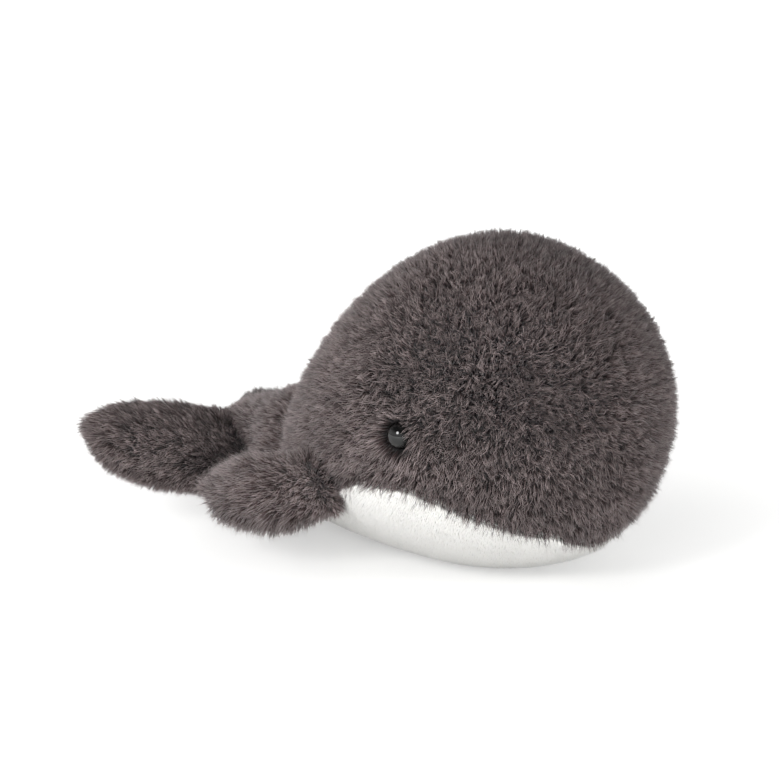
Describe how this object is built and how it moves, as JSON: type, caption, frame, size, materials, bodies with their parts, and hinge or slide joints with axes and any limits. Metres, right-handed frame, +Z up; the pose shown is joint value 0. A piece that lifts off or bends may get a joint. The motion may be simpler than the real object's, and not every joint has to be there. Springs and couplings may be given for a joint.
{
  "type": "plush whale",
  "caption": "Small plush toy whale with a round weighted body, white belly panel, soft swinging flippers, a lifting tail and flapping fluke lobes.",
  "frame": {"origin": "on the surface it rests on, below the middle of the overall length and width", "axes": "+X towards the nose, +Y towards the whale's left side, +Z up"},
  "size_m": [0.1456, 0.0948, 0.0795],
  "materials": {
    "grey_plush": "dense long-pile plush, warm dark grey, darker at the roots",
    "white_plush": "short dense off-white plush",
    "fibre_fill": "loose polyester fibre fill",
    "pouch_cloth": "plain woven cotton",
    "plastic_pellets": "translucent round pellets",
    "eye_black": "polished black",
    "washer_plastic": "moulded natural plastic"
  },
  "bodies": {
    "body": {"side_panel_right": "grey_plush", "side_panel_left": "grey_plush", "belly_panel": "white_plush", "body_stuffing": "fibre_fill", "pellet_pouch_upper": "pouch_cloth", "pellet_pouch_lower": "pouch_cloth", "pellet_fill": "plastic_pellets", "eye_right": "eye_black", "eye_left": "eye_black", "eye_washer_right": "washer_plastic", "eye_washer_left": "washer_plastic"},
    "flipper_right": {"flipper_upper_right": "grey_plush", "flipper_under_right": "grey_plush", "flipper_stuffing_right": "fibre_fill"},
    "flipper_left": {"flipper_upper_left": "grey_plush", "flipper_under_left": "grey_plush", "flipper_stuffing_left": "fibre_fill"},
    "tail": {"tail_panel_right": "grey_plush", "tail_panel_left": "grey_plush", "tail_stuffing": "fibre_fill"},
    "fluke_right": {"fluke_upper_right": "grey_plush", "fluke_under_right": "grey_plush", "fluke_stuffing_right": "fibre_fill"},
    "fluke_left": {"fluke_upper_left": "grey_plush", "fluke_under_left": "grey_plush", "fluke_stuffing_left": "fibre_fill"}
  },
  "joints": [
    {"name": "flipper_right_swing", "type": "hinge", "parent": "body", "child": "flipper_right", "pos_m": [0.00739, -0.03963, 0.02407], "axis": [-0.5453, -0.222, 0.8083], "range_deg": [0, 50], "stiffness_Nm_per_rad": 0.02},
    {"name": "flipper_left_swing", "type": "hinge", "parent": "body", "child": "flipper_left", "pos_m": [0.00739, 0.03963, 0.02407], "axis": [0.5453, -0.222, -0.8083], "range_deg": [0, 50], "stiffness_Nm_per_rad": 0.02},
    {"name": "tail_lift", "type": "hinge", "parent": "body", "child": "tail", "pos_m": [-0.02784, 0, 0.019], "axis": [0, 1, 0], "range_deg": [-5, 25], "stiffness_Nm_per_rad": 0.2},
    {"name": "fluke_right_flap", "type": "hinge", "parent": "tail", "child": "fluke_right", "pos_m": [-0.04534, -0.0088, 0.0168], "axis": [-0.8263, 0.206, 0.5243], "range_deg": [-28, 38], "stiffness_Nm_per_rad": 0.03},
    {"name": "fluke_left_flap", "type": "hinge", "parent": "tail", "child": "fluke_left", "pos_m": [-0.04534, 0.0088, 0.0168], "axis": [0.8263, 0.206, -0.5243], "range_deg": [0, 66], "stiffness_Nm_per_rad": 0.03}
  ]
}
